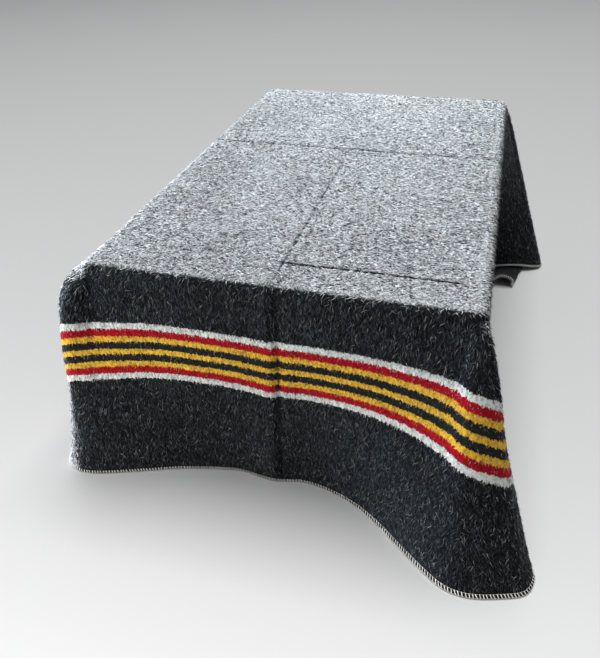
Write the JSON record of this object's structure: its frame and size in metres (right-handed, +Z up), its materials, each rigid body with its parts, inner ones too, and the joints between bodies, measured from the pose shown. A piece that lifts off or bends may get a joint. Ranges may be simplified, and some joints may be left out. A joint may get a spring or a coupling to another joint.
{
  "type": "moving blanket draped over a low table",
  "caption": "Felted moving blanket with a striped end, draped over a plain low table down to the floor, with flared corner folds.",
  "frame": {"origin": "on the floor, under the middle of the table and of the whole object", "axes": "+Z up, +Y along the table away from the striped front, +X to the right seen from the front"},
  "size_m": [0.9375, 1.2975, 0.417],
  "materials": {
    "felt": "needled felt of mixed dark fibres with a raised nap, an overlocked hem and a band of woven-in stripes near one end",
    "wood": "plain oiled wood"
  },
  "bodies": {
    "root": {"blanket": "felt", "table_top": "wood", "leg_front_left": "wood", "leg_front_right": "wood", "leg_back_left": "wood", "leg_back_right": "wood", "apron_front": "wood", "apron_back": "wood", "apron_left": "wood", "apron_right": "wood"}
  },
  "joints": []
}
